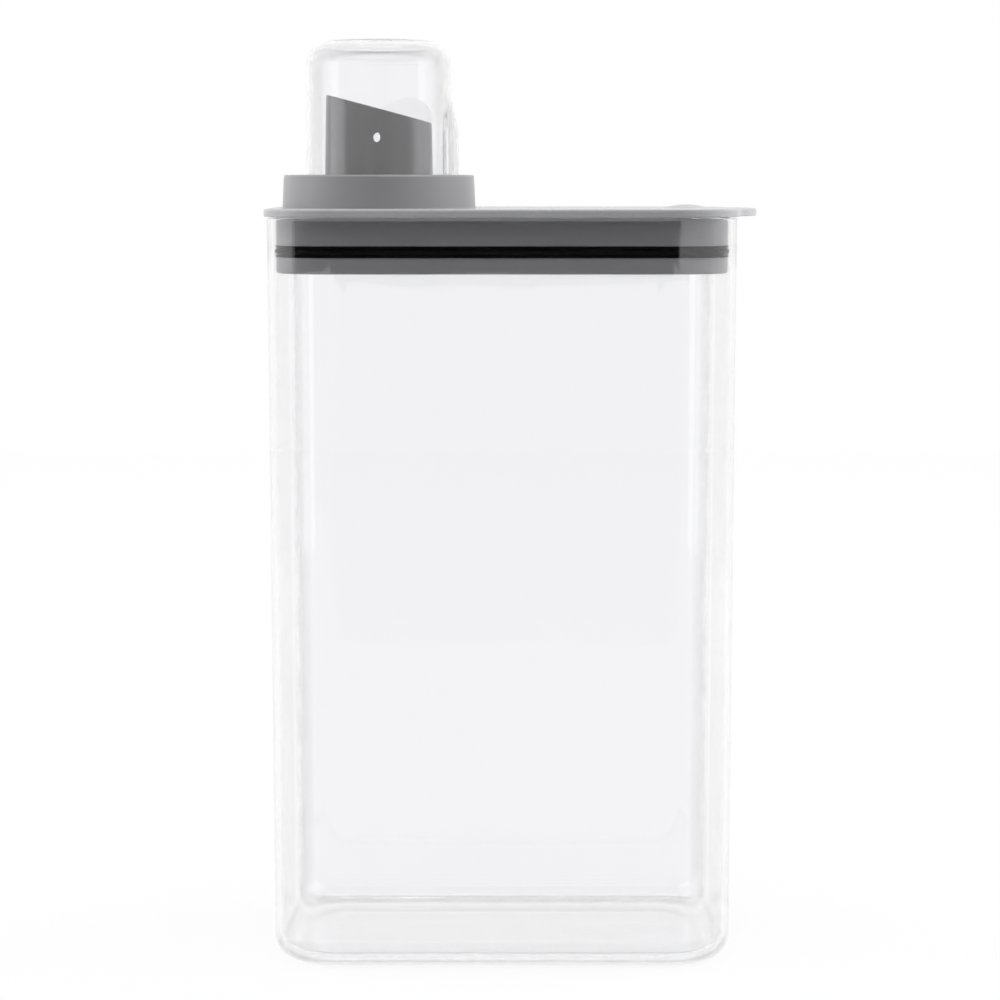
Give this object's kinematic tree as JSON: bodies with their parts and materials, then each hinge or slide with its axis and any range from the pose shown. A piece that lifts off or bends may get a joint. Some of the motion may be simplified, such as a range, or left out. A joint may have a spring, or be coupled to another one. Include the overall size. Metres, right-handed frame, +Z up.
{
  "type": "detergent dispenser",
  "caption": "Clear upright canister with a press-in grey lid, a slanted pouring spout and a measuring cup that caps the spout.",
  "frame": {"origin": "centre of the flat underside of the container, where the whole object stands", "axes": "+Z up out of the container's mouth; +X from the spout towards the finger tab; +Y from the front to the back"},
  "size_m": [0.1511, 0.0988, 0.2815],
  "materials": {
    "container_clear": "clear moulded, polished",
    "cup_clear": "clear moulded, polished",
    "lid_grey": "fine moulded satin",
    "plug_grey": "fine moulded satin",
    "collar_grey": "fine moulded satin",
    "spout_grey": "smooth moulded",
    "seal_rubber": "moulded black",
    "spout_seal_rubber": "moulded translucent"
  },
  "bodies": {
    "container": {"container": "container_clear"},
    "lid": {"lid_cover": "lid_grey", "lid_plug": "plug_grey", "lid_seal": "seal_rubber", "spout_collar": "collar_grey", "spout": "spout_grey", "spout_seal": "spout_seal_rubber"},
    "cup": {"measuring_cup": "cup_clear"}
  },
  "joints": [
    {"name": "lid_lift", "type": "slide", "parent": "container", "child": "lid", "axis": [0, 0, 1], "range_m": [0, 0.04]},
    {"name": "cup_lift", "type": "slide", "parent": "lid", "child": "cup", "axis": [0, 0, 1], "range_m": [0, 0.045]}
  ]
}
